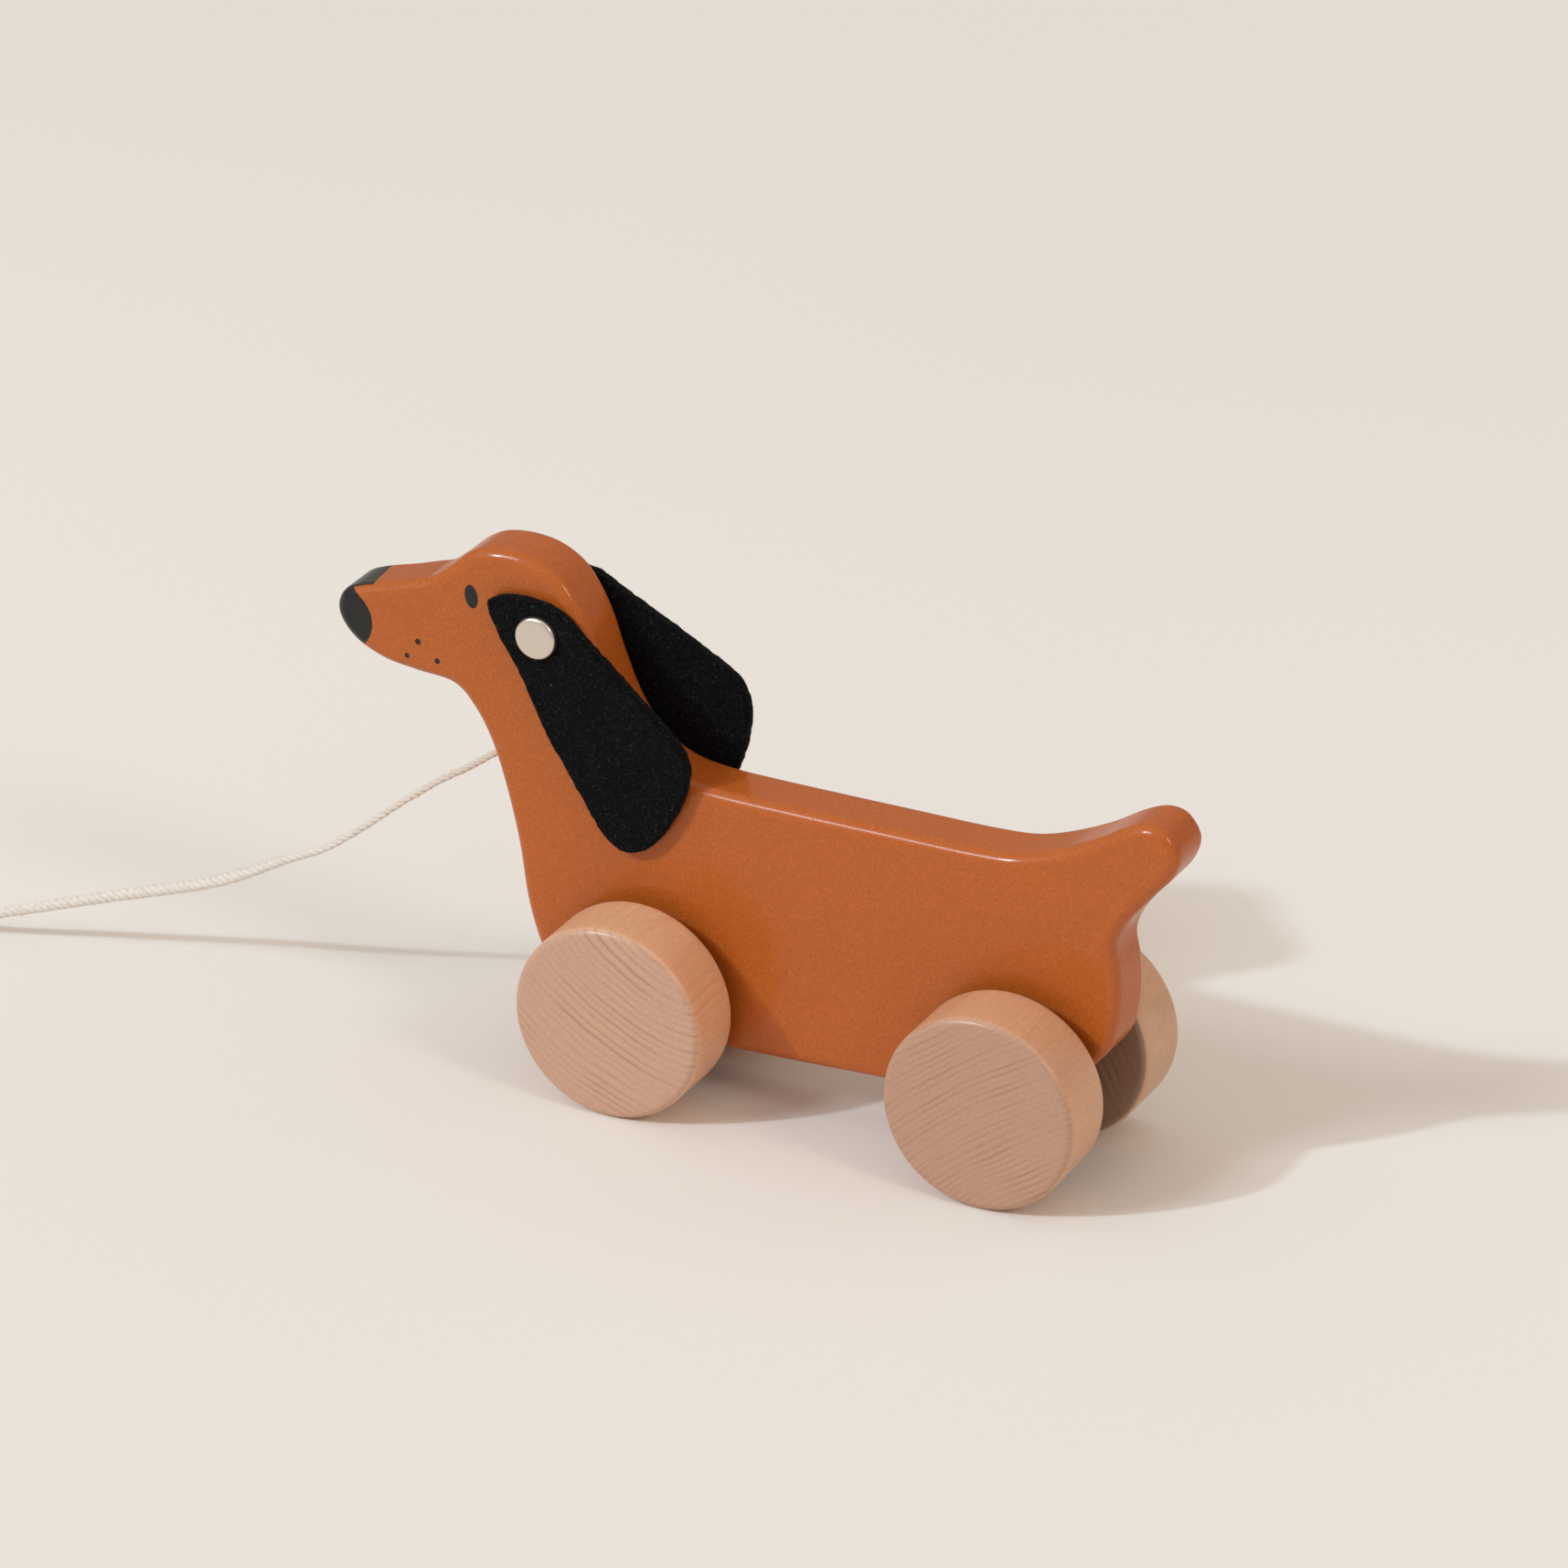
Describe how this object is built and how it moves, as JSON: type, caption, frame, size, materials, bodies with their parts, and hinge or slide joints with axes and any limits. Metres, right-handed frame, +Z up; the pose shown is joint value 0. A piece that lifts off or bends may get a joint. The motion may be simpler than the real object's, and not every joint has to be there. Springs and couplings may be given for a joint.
{
  "type": "pull along toy",
  "caption": "Wooden pull-along dachshund with felt ears, rolling on wooden wheels, with a twisted cotton pull cord wound at its end.",
  "frame": {"origin": "on the floor, under the middle of the toy's length and width, measured without the cord", "axes": "+Z up, nose towards -X, the toy's left side towards -Y"},
  "size_m": [0.3576, 0.0993, 0.1322],
  "materials": {
    "body_paint": "satin",
    "beech": "satin",
    "axle_wood": "matte",
    "felt": "matte",
    "cap_metal": "satin",
    "rivet_metal": "satin",
    "cotton": "matte",
    "tie_cotton": "matte"
  },
  "bodies": {
    "root": {"body": "body_paint", "ear_cap_left": "cap_metal", "ear_cap_right": "cap_metal", "rivet_post": "rivet_metal", "rivet_socket": "rivet_metal", "pull_cord": "cotton", "cord_coil": "cotton", "cord_end": "cotton", "cord_tie": "tie_cotton", "end_knot": "cotton"},
    "front_wheels": {"front_axle": "axle_wood", "wheel_front_left": "beech", "wheel_front_right": "beech", "spacer_front_left": "axle_wood", "spacer_front_right": "axle_wood"},
    "rear_wheels": {"rear_axle": "axle_wood", "wheel_rear_left": "beech", "wheel_rear_right": "beech", "spacer_rear_left": "axle_wood", "spacer_rear_right": "axle_wood"},
    "left_ear": {"ear_left": "felt"},
    "right_ear": {"ear_right": "felt"}
  },
  "joints": [
    {"name": "front_roll", "type": "hinge", "parent": "root", "child": "front_wheels", "pos_m": [-0.026, 0, 0.025], "axis": [0, 1, 0], "continuous": true},
    {"name": "rear_roll", "type": "hinge", "parent": "root", "child": "rear_wheels", "pos_m": [0.073, 0, 0.025], "axis": [0, 1, 0], "continuous": true},
    {"name": "left_ear_turn", "type": "hinge", "parent": "root", "child": "left_ear", "pos_m": [-0.055, -0.01, 0.1138], "axis": [0, 1, 0], "range_deg": [-100, 95]},
    {"name": "right_ear_turn", "type": "hinge", "parent": "root", "child": "right_ear", "pos_m": [-0.055, 0.01, 0.1138], "axis": [0, 1, 0], "range_deg": [-93, 102]}
  ]
}
